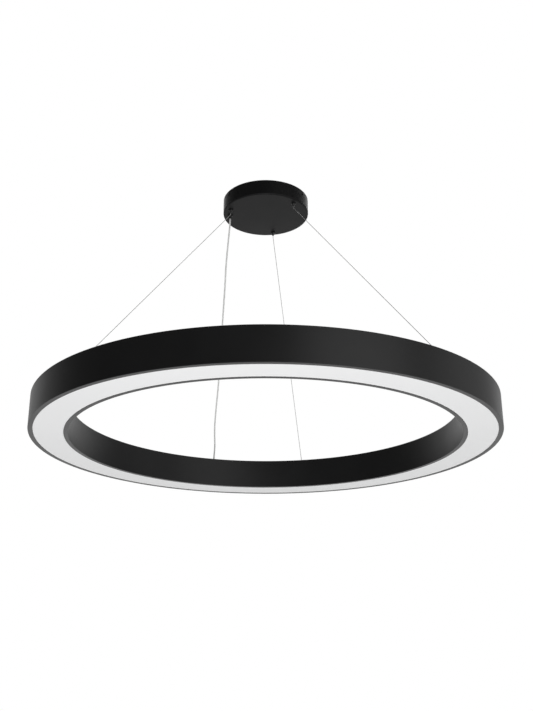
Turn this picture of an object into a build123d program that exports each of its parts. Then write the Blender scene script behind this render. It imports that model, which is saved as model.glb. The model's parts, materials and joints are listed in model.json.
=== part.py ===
from build123d import *
import os
from math import cos, pi, radians, sin, tan

# A wide black light ring hung level under a round ceiling canopy on three steel wires.
# Millimetres, +Z up, origin at the centre of the ceiling plate's upper face.

# Light ring
ring_diameter = 1200.0
ring_band = 98.0  # between the faces of the inner and the outer wall
ring_height = 82.0
wall_thickness = 2.5
outer_lip = 12.0  # black rim outside the diffuser
inner_lip = 11.0  # black rim inside the diffuser
lip_thickness = 2.0
lip_edge_radius = 0.7
ledge_width = 6.0  # rib under the top plate
ledge_thickness = 2.0
top_plate_thickness = 2.0
top_plate_clearance = 0.2
diffuser_recess = 0.4  # how far the diffuser's face lies above the lips' lower face
diffuser_gap = 0.4  # between the diffuser and each lip's edge
diffuser_flange = 1.5  # thickness of the part that rests on the lips
pass_clearance = 0.3  # what drops in from above clears the ledges by this

# Suspension
suspension_drop = 585.0  # canopy underside to ring top
wire_count = 3
wire_bearing = 78.2  # degrees from +X
wire_diameter = 1.5
wire_bend_radius = 8.0
wire_straight_length = 4.0  # at each end of a wire
fixing_inset = 5.0  # wire fixings lie this far inside the middle of the band

# Canopy
canopy_diameter = 240.0
canopy_height = 44.0
cover_sheet = 1.5
cover_edge_radius = 4.0
ceiling_gap = 0.5  # between the ceiling and the cover's rim
ceiling_plate_thickness = 2.0
plate_edge_clearance = 1.0

# Ceiling screws and the mains cable's entry
ceiling_hole_diameter = 5.5
ceiling_hole_circle = 150.0
ceiling_hole_count = 3
ceiling_hole_bearing = 30.0
entry_hole_diameter = 16.0
entry_bore_diameter = 10.0
entry_flange_width = 2.5
entry_flange_thickness = 1.5
entry_place = (-25.0, 45.0)

# Tabs of the ceiling plate and the screws that hold the cover to them
tab_width = 14.0
tab_drop = 16.0
tab_bearing = 90.0
tab_count = 3
tab_gap = 0.2  # between a tab's corners and the cover
cover_screw_diameter = 4.0
cover_screw_length = 8.0
cover_screw_head = 7.0
cover_screw_head_height = 1.6

# Wire grippers, heights measured from the canopy's underside
gripper_circle = 206.0
gripper_thread = 10.0
gripper_flange = 12.0
gripper_flange_thickness = 2.5
gripper_nose = 7.5  # how far the barrel reaches below the canopy
gripper_nose_diameter = 6.8
gripper_top = 18.0
gripper_guide_depth = 6.0
gripper_chamber_top = 2.0
gripper_cone_top = 8.0
gripper_cone_diameter = 7.2
gripper_cap_depth = 5.0
gripper_cap_flange = 2.0
gripper_nut_flats = 14.0
gripper_nut_height = 4.0
plunger_diameter = 4.0
plunger_reach = 3.0  # below the barrel's nose
plunger_cage_diameter = 5.2
plunger_cage_top = 6.5
plunger_bore = 1.8
running_clearance = 0.05
cage_clearance = 0.1
ball_diameter = 2.0
ball_height = 3.5
ball_clearance = 0.06
window_clearance = 0.08
spring_wire = 0.5
spring_diameter = 4.6  # through the middle of the spring's wire
spring_turns = 4.5
wire_tail = 8.0  # above the gripper's cap

# Cord glands, heights measured from the sheet that each sits on
cable_diameter = 4.4
gland_thread = 10.0
gland_flange = 14.0
gland_flange_thickness = 2.5
gland_nose = 10.5
gland_nose_diameter = 7.6
gland_thread_length = 10.0
gland_nut_flats = 14.0
gland_nut_height = 4.0
gland_clearance = 0.1
canopy_gland_radius = 101.0
canopy_gland_bearing = 180.0
ring_gland_bearing = 107.4

# LED driver, mains terminal block and earth screw under the ceiling plate
driver_length = 150.0
driver_width = 44.0
driver_height = 27.0
driver_base_thickness = 1.5
driver_wall = 1.6
driver_ear = 8.0
driver_place = (8.0, -8.0)
driver_screw_diameter = 3.5
driver_screw_head = 6.5
driver_screw_head_height = 2.2
terminal_length = 32.0
terminal_width = 18.0
terminal_height = 15.0
terminal_place = (20.0, 45.0)
terminal_poles = 3
terminal_pole_pitch = 9.0
terminal_screw_hole = 4.2
terminal_hole_depth = 5.0
earth_screw_diameter = 4.0
earth_screw_head = 8.0
earth_screw_head_height = 2.8
earth_washer_diameter = 11.0
earth_washer_thickness = 1.0
earth_place = (46.0, 62.0)
mains_lead_diameter = 2.4
mains_lead_spacing = 4.0
mains_lead_bend = 5.0
mains_lead_depth = 10.0  # below the ceiling plate
mains_lead_run_length = 11.0  # how far the leads run out before they turn
mains_lead_offset = 44.0  # along the driver, from its middle to where they enter
tail_depth = 16.0  # output lead's level below the ceiling
tail_bend_radius = 14.0

# Wire fixings on the ring, heights measured from the ring's top
fixing_head = 14.0
fixing_head_height = 8.0
fixing_head_round = 2.0
fixing_thread = 8.0
fixing_length = 14.0
fixing_seat_depth = 4.0  # below the ring's top, where the swaged end bears
fixing_nut_flats = 13.0
fixing_nut_height = 5.0
ferrule_diameter = 4.4
ferrule_length = 7.0
ferrule_clearance = 0.1
wire_hole = 1.8

# Screws of the ring
screw_clearance = 0.1
plate_screw_diameter = 2.5
plate_screw_head = 4.6
plate_screw_length = 6.0
plate_screw_count = 18  # in each of two rows
plate_screw_bearing = 10.0
socket_flats = 2.0
socket_depth = 1.0

# LED tray and what it carries, heights measured from the ring's underside
tray_level = 40.0
tray_sheet = 1.2
tray_skirt = 16.0
tray_side_clearance = 2.0
standoff_count = 12
standoff_flats = 8.0
standoff_row = 26.0  # distance of the two rows of standoffs from the middle of the band
standoff_screw_diameter = 3.0
standoff_screw_head = 6.0
standoff_screw_head_height = 2.2
standoff_screw_grip = 8.0
board_count = 6
board_width = 30.0
board_thickness = 1.6
board_gap = 2.0
board_start_bearing = 120.0
chips_per_board = 24
chip_side = 5.0
chip_height = 1.5
chip_row = 7.0  # distance of the two rows of chips from the middle of the band
board_screw_places = (5.0, 25.0, 35.0, 55.0)  # degrees along a board
board_screw_diameter = 2.5
board_screw_head = 5.0
board_screw_head_height = 1.8
link_length = 18.0
link_width = 8.0
link_height = 3.0

# Ring terminal block, cable tail and feed lead
ring_terminal_length = 34.0
ring_terminal_width = 18.0
ring_terminal_height = 16.0
ring_terminal_bearing = 114.0
feed_row = 24.0  # distance of the terminal and feed lead inside the middle of the band
feed_bearing = 122.5
feed_diameter = 4.0
feed_bend_radius = 5.5
terminal_straight = 10.0  # how far each lead runs straight out of the ring terminal
lead_bend_radius = 12.0
feed_plug_length = 10.0
feed_plug_width = 10.0
feed_plug_height = 8.4
grommet_diameter = 10.0
grommet_groove = 7.4
grommet_flange = 1.5
grommet_clearance = 0.1

# Levels and radii that follow from the sizes above
ring_radius = ring_diameter / 2
inner_radius = ring_radius - ring_band
middle_radius = ring_radius - ring_band / 2
ring_top = -canopy_height - suspension_drop
ring_base = ring_top - ring_height
plate_underside = ring_top - top_plate_thickness
canopy_radius = canopy_diameter / 2
canopy_floor = cover_sheet - canopy_height
ceiling_plate_underside = -ceiling_plate_thickness
wire_radius = wire_diameter / 2
nozzle_mouth = -canopy_height - gripper_nose - plunger_reach
fixing_mouth = ring_top + fixing_head_height
fixing_radius = middle_radius - fixing_inset
tray_top = ring_base + tray_level + tray_sheet
board_top = ring_base + tray_level
board_underside = board_top - board_thickness
wire_bearings = [wire_bearing + k * 360.0 / wire_count for k in range(wire_count)]
wire_names = "abc"

# Supply cable: its points from the canopy gland's mouth to the ring gland's mouth, chosen by hand
cable_route = [
    (-101.0, 0.0, -54.5),
    (-101.0, 0.0, -64.0),
    (-102.0, 5.0, -79.0),
    (-104.5, 17.0, -99.0),
    (-108.5, 38.0, -126.0),
    (-114.0, 72.0, -166.5),
    (-117.5, 110.0, -212.0),
    (-122.5, 149.0, -257.0),
    (-127.0, 188.0, -300.5),
    (-131.5, 228.0, -343.5),
    (-136.3, 268.0, -385.0),
    (-141.0, 309.0, -426.0),
    (-146.5, 349.0, -464.5),
    (-152.0, 384.0, -496.5),
    (-156.0, 415.0, -523.0),
    (-158.5, 443.0, -545.0),
    (-159.3, 468.0, -563.0),
    (-159.6, 490.0, -578.0),
    (-160.8, 507.0, -590.0),
    (-162.3, 516.5, -599.5),
    (-163.3, 521.0, -609.0),
    (-163.3, 521.0, -618.5),
]
cable_arc_share = 0.45  # share of the shorter run that each arc's tangent takes

nodes = {}


def polar(radius, bearing, height=0.0):
    """A point at a radius and a bearing in degrees about the vertical axis."""
    return Vector(radius * cos(radians(bearing)), radius * sin(radians(bearing)), height)


def turned(outline):
    """A solid of revolution about Z from an outline of (radius, height) points."""
    return revolve(make_face(Plane.XZ * Polyline(*outline, close=True)), Axis.Z)


def rod(diameter, low, high):
    return Pos(0, 0, low) * Cylinder(diameter / 2, high - low, align=(Align.CENTER, Align.CENTER, Align.MIN))


def pipe(outer, inner, low, high):
    return rod(outer, low, high) - rod(inner, low, high)


def hexagon(flats, low, high):
    outline = RegularPolygon(flats / 2, 6, major_radius=False)
    return Pos(0, 0, low) * extrude(outline, amount=high - low, dir=(0, 0, 1))


def block(length, width, low, high):
    return Pos(0, 0, low) * Box(length, width, high - low, align=(Align.CENTER, Align.CENTER, Align.MIN))


def set_at(shape, radius, bearing, height=0.0):
    """A shape moved to a bearing, with its own X axis pointing outwards."""
    return Pos(*polar(radius, bearing, height)) * Rot(0, 0, bearing) * shape


def group(shapes):
    return Compound([solid for shape in shapes for solid in shape.solids()])


def pan_screw(diameter, head, head_height, length):
    """A screw with its head below Z = 0 and its shank above."""
    shank = rod(diameter, 0, length)
    cap = fillet(rod(head, -head_height, 0).edges().group_by(Axis.Z)[0], head_height / 3)
    return shank + cap - hexagon(socket_flats, -head_height, socket_depth - head_height)


def tube(points, radii, diameter):
    """A round tube along straight runs joined by tangent arcs."""
    path = FilletPolyline(*points, radius=radii)
    section = Plane(path @ 0, z_dir=path % 0) * Circle(diameter / 2)
    return sweep(section, path=path)


# Ring walls, each rolled from one section with a lip below and a rib for the top plate


def wall(face, direction, lip):
    """A wall whose visible face is at one radius, with its lip and rib pointing into the channel."""
    back = face + direction * wall_thickness
    rib = back + direction * ledge_width
    edge = face + direction * lip
    rib_top = plate_underside
    rib_low = rib_top - ledge_thickness
    lip_top = ring_base + lip_thickness
    outline = [
        (face, ring_base),
        (face, ring_top),
        (back, ring_top),
        (back, rib_top),
        (rib, rib_top),
        (rib, rib_low),
        (back, rib_low),
        (back, lip_top),
        (edge, lip_top),
        (edge, ring_base),
    ]
    section = make_face(Polyline(*outline, close=True))
    rounded = [v for v in section.vertices() if abs(v.Y - ring_base) < lip_edge_radius]
    rounded += [v for v in section.vertices() if abs(v.X - face) + abs(v.Y - ring_top) < lip_edge_radius]
    return revolve(Plane.XZ * fillet(rounded, lip_edge_radius), Axis.Z)


outer_screw_radius = ring_radius - wall_thickness - ledge_width / 2
inner_screw_radius = inner_radius + wall_thickness + ledge_width / 2
plate_screw_bearings = [
    plate_screw_bearing + k * 360.0 / plate_screw_count for k in range(plate_screw_count)
]
plate_screw_hole = rod(plate_screw_diameter + screw_clearance, ring_top - plate_screw_length, ring_top)


def ring_of(shape, radius, bearings, height=0.0):
    return [set_at(shape, radius, bearing, height) for bearing in bearings]


nodes["outer_wall"] = wall(ring_radius, -1, outer_lip) - ring_of(
    plate_screw_hole, outer_screw_radius, plate_screw_bearings
)
nodes["inner_wall"] = wall(inner_radius, 1, inner_lip) - ring_of(
    plate_screw_hole, inner_screw_radius, plate_screw_bearings
)

# Top plate with its countersunk screws

head_depth = (plate_screw_head - plate_screw_diameter) / 2


def countersunk(grow):
    """A countersunk screw's outline, flush with the ring's top, grown for its hole."""
    head = plate_screw_head / 2 + grow
    shank = plate_screw_diameter / 2 + grow
    low = ring_top - plate_screw_length
    return turned([(0, ring_top), (head, ring_top), (shank, ring_top - head_depth), (shank, low), (0, low)])


plate_screw = countersunk(0) - hexagon(socket_flats, ring_top - socket_depth, ring_top)
plate_screw_pocket = countersunk(screw_clearance / 2)
standoff_bearings = [k * 360.0 / standoff_count for k in range(standoff_count)]
standoff_radii = [middle_radius + standoff_row * (1 if k % 2 == 0 else -1) for k in range(standoff_count)]
standoff_hole = standoff_screw_diameter + screw_clearance

top_plate = pipe(
    2 * (ring_radius - wall_thickness - top_plate_clearance),
    2 * (inner_radius + wall_thickness + top_plate_clearance),
    plate_underside,
    ring_top,
)
top_plate -= ring_of(plate_screw_pocket, outer_screw_radius, plate_screw_bearings)
top_plate -= ring_of(plate_screw_pocket, inner_screw_radius, plate_screw_bearings)
top_plate -= [
    set_at(rod(standoff_hole, plate_underside, ring_top), radius, bearing)
    for radius, bearing in zip(standoff_radii, standoff_bearings)
]
fixing_hole = rod(fixing_thread + screw_clearance, plate_underside, ring_top)
ring_gland_hole = rod(gland_thread + screw_clearance, plate_underside, ring_top)
top_plate -= ring_of(fixing_hole, fixing_radius, wire_bearings)
top_plate -= ring_of(ring_gland_hole, fixing_radius, [ring_gland_bearing])
nodes["top_plate"] = top_plate
nodes["top_plate_screws"] = group(
    ring_of(plate_screw, outer_screw_radius, plate_screw_bearings)
    + ring_of(plate_screw, inner_screw_radius, plate_screw_bearings)
)

# Opal diffuser, stepped so that it rests on the lips with its face between them

flange_outer = ring_radius - wall_thickness - ledge_width - pass_clearance
flange_inner = inner_radius + wall_thickness + ledge_width + pass_clearance
face_outer = ring_radius - outer_lip - diffuser_gap
face_inner = inner_radius + inner_lip + diffuser_gap
flange_low = ring_base + lip_thickness
flange_top = flange_low + diffuser_flange
nodes["diffuser"] = turned(
    [
        (face_inner, ring_base + diffuser_recess),
        (face_outer, ring_base + diffuser_recess),
        (face_outer, flange_low),
        (flange_outer, flange_low),
        (flange_outer, flange_top),
        (flange_inner, flange_top),
        (flange_inner, flange_low),
        (face_inner, flange_low),
    ]
)

# LED tray: a pressed white pan hung from the top plate on standoffs

tray_outer = flange_outer - tray_side_clearance
tray_inner = flange_inner + tray_side_clearance
skirt_low = board_top - tray_skirt
feed_radius = middle_radius - feed_row
board_bearings = [board_start_bearing + k * 360.0 / board_count for k in range(board_count)]
board_span = 360.0 / board_count
board_screw_bearings = [start + place for start in board_bearings for place in board_screw_places]
board_screw_length = board_thickness + 2 * tray_sheet

tray = turned(
    [
        (tray_inner, skirt_low),
        (tray_inner, tray_top),
        (tray_outer, tray_top),
        (tray_outer, skirt_low),
        (tray_outer - tray_sheet, skirt_low),
        (tray_outer - tray_sheet, board_top),
        (tray_inner + tray_sheet, board_top),
        (tray_inner + tray_sheet, skirt_low),
    ]
)
tray -= [
    set_at(rod(standoff_hole, board_top, tray_top), radius, bearing)
    for radius, bearing in zip(standoff_radii, standoff_bearings)
]
tray -= ring_of(
    rod(board_screw_diameter + screw_clearance, board_top, tray_top), middle_radius, board_screw_bearings
)
tray -= set_at(rod(grommet_groove + grommet_clearance, board_top, tray_top), feed_radius, feed_bearing)
nodes["led_tray"] = tray

standoff = hexagon(standoff_flats, tray_top, plate_underside) - rod(standoff_hole, tray_top, plate_underside)
tray_screw = pan_screw(
    standoff_screw_diameter,
    standoff_screw_head,
    standoff_screw_head_height,
    tray_sheet + standoff_screw_grip,
)
hanger_screw = Rot(180, 0, 0) * pan_screw(
    standoff_screw_diameter,
    standoff_screw_head,
    standoff_screw_head_height,
    top_plate_thickness + standoff_screw_grip,
)
standoffs = []
standoff_screws = []
for radius, bearing in zip(standoff_radii, standoff_bearings):
    standoffs.append(set_at(standoff, radius, bearing))
    standoff_screws.append(set_at(tray_screw, radius, bearing, board_top))
    standoff_screws.append(set_at(hanger_screw, radius, bearing, ring_top))
nodes["tray_standoffs"] = group(standoffs)
nodes["standoff_screws"] = group(standoff_screws)

# LED boards under the tray, their chips, links and screws


def board(start):
    """One arc-shaped board from its start bearing, with half a gap left at each end."""
    trim = board_gap / 2 / middle_radius * 180.0 / pi
    span = board_span - 2 * trim
    outer = CenterArc((0, 0), middle_radius + board_width / 2, start + trim, span)
    inner = CenterArc((0, 0), middle_radius - board_width / 2, start + trim, span)
    outline = Curve() + [outer, inner, Line(outer @ 0, inner @ 0), Line(outer @ 1, inner @ 1)]
    plate = extrude(make_face(outline), amount=board_thickness, dir=(0, 0, 1))
    hole = rod(board_screw_diameter + screw_clearance, board_underside, board_top)
    holes = ring_of(hole, middle_radius, [start + place for place in board_screw_places])
    return Pos(0, 0, board_underside) * plate - holes


for number, start in enumerate(board_bearings, 1):
    nodes[f"led_board_{number}"] = board(start)

chip = block(chip_side, chip_side, board_underside - chip_height, board_underside)
chip_pitch = board_span / chips_per_board
chips = []
for k in range(board_count * chips_per_board):
    row = chip_row if k % 2 else -chip_row
    chips.append(set_at(chip, middle_radius + row, board_start_bearing + (k + 0.5) * chip_pitch))
nodes["led_chips"] = group(chips)

link = block(link_width, link_length, board_underside - link_height, board_underside)
feed_plug = block(feed_plug_length, feed_plug_width, board_underside - feed_plug_height, board_underside)
feed_plug_radius = middle_radius - board_width / 2 + feed_plug_length / 2
nodes["board_links"] = group(
    ring_of(link, middle_radius, board_bearings[1:]) + [set_at(feed_plug, feed_plug_radius, feed_bearing)]
)
board_screw = pan_screw(board_screw_diameter, board_screw_head, board_screw_head_height, board_screw_length)
nodes["board_screws"] = group(ring_of(board_screw, middle_radius, board_screw_bearings, board_underside))

# Wire fixings on the ring, with the wires' swaged ends inside

fixing_low = ring_top - fixing_length
seat = ring_top - fixing_seat_depth
fixing_cap = rod(fixing_head, ring_top, fixing_mouth)
fixing_cap = fillet(fixing_cap.edges().group_by(Axis.Z)[-1], fixing_head_round)
fixing = fixing_cap + rod(fixing_thread, fixing_low, ring_top)
fixing -= rod(wire_hole, seat, fixing_mouth)
fixing -= rod(ferrule_diameter + ferrule_clearance, fixing_low, seat)
fixing_nut = hexagon(fixing_nut_flats, plate_underside - fixing_nut_height, plate_underside)
fixing_nut -= rod(fixing_thread + screw_clearance, plate_underside - fixing_nut_height, plate_underside)
wire_end = rod(wire_diameter, seat, fixing_mouth) + rod(ferrule_diameter, seat - ferrule_length, seat)
for name, bearing in zip(wire_names, wire_bearings):
    nodes[f"wire_fixing_{name}"] = set_at(fixing, fixing_radius, bearing)
nodes["fixing_nuts"] = group(ring_of(fixing_nut, fixing_radius, wire_bearings))
nodes["wire_ends"] = group(ring_of(wire_end, fixing_radius, wire_bearings))

# Cord glands: one below the canopy, one on the ring


def gland():
    """A gland on a sheet whose outer face is Z = 0, with its nose pointing up."""
    body = turned(
        [
            (0, -gland_thread_length),
            (gland_thread / 2, -gland_thread_length),
            (gland_thread / 2, 0),
            (gland_flange / 2, 0),
            (gland_flange / 2, gland_flange_thickness),
            (gland_thread / 2, gland_flange_thickness),
            (gland_nose_diameter / 2, gland_nose),
            (0, gland_nose),
        ]
    )
    return body - rod(cable_diameter + gland_clearance, -gland_thread_length, gland_nose)


def gland_nut(sheet):
    """The gland's nut behind a sheet of this thickness."""
    low = -sheet - gland_nut_height
    return hexagon(gland_nut_flats, low, -sheet) - rod(gland_thread + screw_clearance, low, -sheet)


downwards = Rot(180, 0, 0)
nodes["canopy_gland"] = set_at(downwards * gland(), canopy_gland_radius, canopy_gland_bearing, -canopy_height)
nodes["canopy_gland_nut"] = set_at(
    downwards * gland_nut(cover_sheet), canopy_gland_radius, canopy_gland_bearing, -canopy_height
)
nodes["ring_gland"] = set_at(gland(), fixing_radius, ring_gland_bearing, ring_top)
nodes["ring_gland_nut"] = set_at(gland_nut(top_plate_thickness), fixing_radius, ring_gland_bearing, ring_top)

# Ring terminal block on the tray, the cable's tail into it and the feed lead to the first board

terminal_level = tray_top + ring_terminal_height / 2
ring_terminal = block(ring_terminal_width, ring_terminal_length, tray_top, tray_top + ring_terminal_height)
nodes["ring_terminal"] = set_at(ring_terminal, feed_radius, ring_terminal_bearing)
terminal_centre = polar(feed_radius, ring_terminal_bearing, terminal_level)
terminal_frame = Pos(*terminal_centre) * Rot(0, 0, ring_terminal_bearing)
terminal_ends = []
for side in (-1, 1):
    face = side * ring_terminal_length / 2
    run = face + side * terminal_straight
    terminal_ends.append([(terminal_frame * Pos(0, along, 0)).position for along in (face, run)])
tail_corner = polar(fixing_radius, ring_gland_bearing, terminal_level)
tail_top = polar(fixing_radius, ring_gland_bearing, ring_top + gland_nose)
tail_in, tail_run = terminal_ends[0]
nodes["ring_cable_tail"] = tube(
    [tail_top, tail_corner, tail_run, tail_in], [tail_bend_radius, lead_bend_radius], cable_diameter
)

plug_level = board_underside - feed_plug_height / 2
feed_points = [
    *terminal_ends[1],
    polar(feed_radius, feed_bearing, terminal_level),
    polar(feed_radius, feed_bearing, plug_level),
    polar(feed_plug_radius - feed_plug_length / 2, feed_bearing, plug_level),
]
nodes["feed_lead"] = tube(
    feed_points, [lead_bend_radius, feed_bend_radius, feed_bend_radius], feed_diameter
)
grommet = pipe(grommet_groove, feed_diameter + grommet_clearance, board_top, tray_top)
grommet += pipe(grommet_diameter, feed_diameter + grommet_clearance, tray_top, tray_top + grommet_flange)
nodes["tray_grommet"] = set_at(grommet, feed_radius, feed_bearing)

# Canopy cover: a pressed cup, closed below, with holes for the grippers, the gland and its screws

cover = rod(canopy_diameter, -canopy_height, -ceiling_gap)
cover = fillet(cover.edges().group_by(Axis.Z)[0], cover_edge_radius)
cover_hollow = rod(canopy_diameter - 2 * cover_sheet, canopy_floor, -ceiling_gap)
cover -= fillet(cover_hollow.edges().group_by(Axis.Z)[0], cover_edge_radius - cover_sheet)
gripper_radius = gripper_circle / 2
sheet_hole = rod(gripper_thread + screw_clearance, -canopy_height, canopy_floor)
gland_hole = rod(gland_thread + screw_clearance, -canopy_height, canopy_floor)
cover -= ring_of(sheet_hole, gripper_radius, wire_bearings)
cover -= ring_of(gland_hole, canopy_gland_radius, [canopy_gland_bearing])
tab_bearings = [tab_bearing + k * 360.0 / tab_count for k in range(tab_count)]
cover_inside = canopy_radius - cover_sheet
tab_face = (cover_inside - tab_gap) * cos(tab_width / 2 / cover_inside)
screw_level = ceiling_plate_underside - tab_drop / 2
outwards = Rot(0, 90, 0)
screw_hole = Pos(0, 0, screw_level) * outwards * rod(
    cover_screw_diameter + screw_clearance, tab_face - cover_screw_length, canopy_radius
)
cover -= ring_of(screw_hole, 0, tab_bearings)
nodes["canopy_cover"] = cover

# Ceiling plate with three bent tabs, its grommet and the cover's screws

tab = Pos(tab_face - ceiling_plate_thickness / 2, 0, 0) * block(
    ceiling_plate_thickness, tab_width, ceiling_plate_underside - tab_drop, 0
)
plate_diameter = 2 * (cover_inside - plate_edge_clearance)
ceiling_hole_bearings = [
    ceiling_hole_bearing + k * 360.0 / ceiling_hole_count for k in range(ceiling_hole_count)
]
driver_ear_offset = driver_length / 2 + driver_ear / 2
driver_screw_places = [Pos(*driver_place) * Pos(side * driver_ear_offset, 0, 0) for side in (-1, 1)]
plate = rod(plate_diameter, ceiling_plate_underside, 0) + ring_of(tab, 0, tab_bearings)
plate -= ring_of(screw_hole, 0, tab_bearings)
plate -= ring_of(
    rod(ceiling_hole_diameter, ceiling_plate_underside, 0), ceiling_hole_circle / 2, ceiling_hole_bearings
)
plate -= Pos(*entry_place) * rod(entry_hole_diameter, ceiling_plate_underside, 0)
plate -= Pos(*earth_place) * rod(earth_screw_diameter + screw_clearance, ceiling_plate_underside, 0)
driver_screw_hole = rod(driver_screw_diameter + screw_clearance, ceiling_plate_underside, 0)
plate -= [place * driver_screw_hole for place in driver_screw_places]
nodes["ceiling_plate"] = plate

cover_screw = Pos(canopy_radius, 0, screw_level) * Rot(0, -90, 0) * pan_screw(
    cover_screw_diameter, cover_screw_head, cover_screw_head_height, cover_screw_length
)
nodes["cover_screws"] = group(ring_of(cover_screw, 0, tab_bearings))

entry_flange_low = ceiling_plate_underside - entry_flange_thickness
entry = pipe(entry_hole_diameter - grommet_clearance, entry_bore_diameter, ceiling_plate_underside, 0)
entry += pipe(
    entry_hole_diameter + 2 * entry_flange_width,
    entry_bore_diameter,
    entry_flange_low,
    ceiling_plate_underside,
)
nodes["entry_grommet"] = Pos(*entry_place) * entry

# LED driver: a base plate with two ears and a case screwed up against the ceiling plate

driver_base_low = ceiling_plate_underside - driver_base_thickness
driver_low = ceiling_plate_underside - driver_height
ear_hole = rod(driver_screw_diameter + screw_clearance, driver_base_low, ceiling_plate_underside)
driver_base = Pos(*driver_place) * block(
    driver_length + 2 * driver_ear, driver_width, driver_base_low, ceiling_plate_underside
)
nodes["driver_base"] = driver_base - [place * ear_hole for place in driver_screw_places]
driver_case = block(driver_length, driver_width, driver_low, driver_base_low)
driver_case = fillet(driver_case.edges().filter_by(Axis.Z), driver_wall)
driver_case -= block(
    driver_length - 2 * driver_wall,
    driver_width - 2 * driver_wall,
    driver_low + driver_wall,
    driver_base_low,
)
nodes["driver_case"] = Pos(*driver_place) * driver_case
driver_screw = pan_screw(
    driver_screw_diameter,
    driver_screw_head,
    driver_screw_head_height,
    driver_base_thickness + ceiling_plate_thickness,
)
nodes["driver_screws"] = group(
    [place * Pos(0, 0, driver_base_low) * driver_screw for place in driver_screw_places]
)

# Mains terminal block with its screw wells, the earth screw with its washer, and the mains leads

terminal_low = ceiling_plate_underside - terminal_height
terminal = block(terminal_length, terminal_width, terminal_low, ceiling_plate_underside)
well = rod(terminal_screw_hole, terminal_low, terminal_low + terminal_hole_depth)
terminal -= [
    Pos((k - (terminal_poles - 1) / 2) * terminal_pole_pitch, 0, 0) * well for k in range(terminal_poles)
]
nodes["mains_terminal"] = Pos(*terminal_place) * terminal

earth_screw = Pos(0, 0, ceiling_plate_underside - earth_washer_thickness) * pan_screw(
    earth_screw_diameter,
    earth_screw_head,
    earth_screw_head_height,
    earth_washer_thickness + ceiling_plate_thickness,
)
earth_screw += pipe(
    earth_washer_diameter,
    earth_screw_diameter,
    ceiling_plate_underside - earth_washer_thickness,
    ceiling_plate_underside,
)
nodes["earth_screw"] = Pos(*earth_place) * earth_screw

terminal_side = terminal_place[1] - terminal_width / 2
driver_side = driver_place[1] + driver_width / 2
lead_entry = driver_place[0] + mains_lead_offset
mains_leads = []
for k in range(2):
    level = ceiling_plate_underside - mains_lead_depth - k * mains_lead_spacing / 2
    start = terminal_place[0] + k * mains_lead_spacing
    turn = terminal_side - mains_lead_run_length + k * mains_lead_spacing
    entry_point = lead_entry - k * mains_lead_spacing
    route = [
        (start, terminal_side, level),
        (start, turn, level),
        (entry_point, turn, level),
        (entry_point, driver_side, level),
    ]
    mains_leads.append(tube(route, [mains_lead_bend, mains_lead_bend], mains_lead_diameter))
nodes["mains_leads"] = group(mains_leads)

driver_end = driver_place[0] - driver_length / 2
tail_foot = polar(canopy_gland_radius, canopy_gland_bearing, -canopy_height - gland_nose)
tail_route = [tail_foot, (tail_foot.X, tail_foot.Y, -tail_depth), (driver_end, tail_foot.Y, -tail_depth)]
nodes["output_lead"] = tube(tail_route, [tail_bend_radius], cable_diameter)

# Wire grippers: a barrel through the cover, a ball cage that clamps the wire, a spring and a cap

cap_low = gripper_top - gripper_cap_depth
cage_bore = plunger_cage_diameter + 2 * cage_clearance
guide_bore = plunger_diameter + 2 * running_clearance
guide_low = -gripper_nose
guide_top = guide_low + gripper_guide_depth
barrel = turned(
    [
        (guide_bore / 2, guide_low),
        (gripper_nose_diameter / 2, guide_low),
        (gripper_thread / 2, -gripper_flange_thickness),
        (gripper_flange / 2, -gripper_flange_thickness),
        (gripper_flange / 2, 0),
        (gripper_thread / 2, 0),
        (gripper_thread / 2, gripper_top),
        (gripper_cone_diameter / 2, gripper_top),
        (gripper_cone_diameter / 2, gripper_cone_top),
        (cage_bore / 2, gripper_chamber_top),
        (cage_bore / 2, guide_top),
        (guide_bore / 2, guide_top),
    ]
)
cap = rod(gripper_cone_diameter - 2 * running_clearance, cap_low, gripper_top)
cap += rod(gripper_thread, gripper_top, gripper_top + gripper_cap_flange)
cap -= rod(plunger_bore, cap_low, gripper_top + gripper_cap_flange)
nut_top = cover_sheet + gripper_nut_height
nut = hexagon(gripper_nut_flats, cover_sheet, nut_top) - rod(
    gripper_thread + screw_clearance, cover_sheet, nut_top
)
plunger_low = guide_low - plunger_reach
shoulder = guide_top + pass_clearance
plunger = rod(plunger_diameter, plunger_low, shoulder)
plunger += rod(plunger_cage_diameter, shoulder, plunger_cage_top)
plunger -= rod(plunger_bore, plunger_low, plunger_cage_top)
ball_ring = wire_radius + ball_clearance + ball_diameter / 2
ball_bearings = [k * 120.0 for k in range(3)]
window_diameter = ball_diameter + 2 * window_clearance
window = Pos(0, 0, ball_height) * outwards * rod(window_diameter, 0, plunger_cage_diameter)
plunger -= ring_of(window, 0, ball_bearings)
balls = ring_of(Pos(0, 0, ball_height) * Sphere(ball_diameter / 2), ball_ring, ball_bearings)

spring_low = plunger_cage_top + spring_wire / 2
spring_height = cap_low - plunger_cage_top - spring_wire
spring_path = Pos(0, 0, spring_low) * Helix(spring_height / spring_turns, spring_height, spring_diameter / 2)
spring_section = Plane(spring_path @ 0, z_dir=spring_path % 0) * Circle(spring_wire / 2)
spring = sweep(spring_section, path=spring_path)

for name, bearing in zip(wire_names, wire_bearings):
    nodes[f"gripper_barrel_{name}"] = set_at(barrel, gripper_radius, bearing, -canopy_height)
    nodes[f"gripper_plunger_{name}"] = set_at(plunger, gripper_radius, bearing, -canopy_height)
    nodes[f"gripper_spring_{name}"] = set_at(spring, gripper_radius, bearing, -canopy_height)
    nodes[f"gripper_balls_{name}"] = group(
        [set_at(ball, gripper_radius, bearing, -canopy_height) for ball in balls]
    )
nodes["gripper_nuts"] = group(ring_of(nut, gripper_radius, wire_bearings, -canopy_height))
nodes["gripper_caps"] = group(ring_of(cap, gripper_radius, wire_bearings, -canopy_height))

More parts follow.
